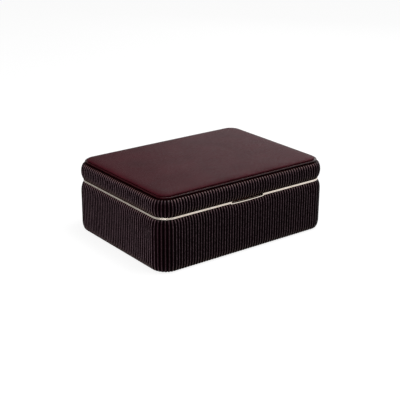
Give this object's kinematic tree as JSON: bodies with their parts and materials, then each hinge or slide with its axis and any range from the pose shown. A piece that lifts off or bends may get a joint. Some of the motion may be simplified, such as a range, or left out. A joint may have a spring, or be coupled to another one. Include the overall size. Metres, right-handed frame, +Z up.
{
  "type": "jewelry box",
  "caption": "Hinged jewelry box in upright-ribbed leather with a smooth padded lid top, pale brass rims, a finger notch, a lift-out tray and a lid mirror.",
  "frame": {"origin": "on the floor, under the middle of the box", "axes": "+X along the front to the right, -Y is the front, +Z up"},
  "size_m": [0.2872, 0.2122, 0.1061],
  "materials": {
    "pleated_leather": "semi-gloss, ribbed",
    "pad_leather": "smooth semi-gloss",
    "frame_leather": "smooth",
    "pull_leather": "smooth",
    "rim_brass": "polished, pale",
    "hinge_brass": "polished",
    "screw_brass": "polished",
    "pin_steel": "brushed",
    "wood": "stained dark",
    "suede": "napped",
    "tray_suede": "napped",
    "roll_suede": "napped",
    "felt": "felted",
    "foam": "open cell",
    "mirror": "silvered"
  },
  "bodies": {
    "box": {"base_underside_felt": "felt", "base_bottom_panel": "wood", "base_carcass": "wood", "base_pleated_leather": "pleated_leather", "base_rim": "rim_brass", "base_lining": "suede", "tray_ledge": "suede", "base_floor_pad": "suede", "low_dividers": "suede", "hinge_base_leaves": "hinge_brass", "hinge_base_screws": "screw_brass", "hinge_pins": "pin_steel"},
    "lid": {"lid_carcass": "wood", "lid_top_panel": "wood", "lid_pleated_leather": "pleated_leather", "lid_rim": "rim_brass", "lid_pad_board": "pad_leather", "lid_pad_foam": "foam", "lid_pad_leather": "pad_leather", "lid_lining": "suede", "lid_ceiling_pad": "suede", "mirror_frame": "frame_leather", "mirror_glass": "mirror", "hinge_lid_leaves": "hinge_brass", "hinge_lid_screws": "screw_brass"},
    "tray": {"tray_box": "tray_suede", "tray_long_divider": "tray_suede", "tray_rear_dividers": "tray_suede", "tray_front_dividers": "tray_suede", "ring_rolls": "roll_suede", "tray_pulls": "pull_leather"}
  },
  "joints": [
    {"name": "lid_hinge", "type": "hinge", "parent": "box", "child": "lid", "pos_m": [0, 0.1034, 0.0744], "axis": [-1, 0, 0], "range_deg": [0, 100]},
    {"name": "tray_lift", "type": "slide", "parent": "box", "child": "tray", "axis": [0, 0, 1], "range_m": [0, 0.012]}
  ]
}
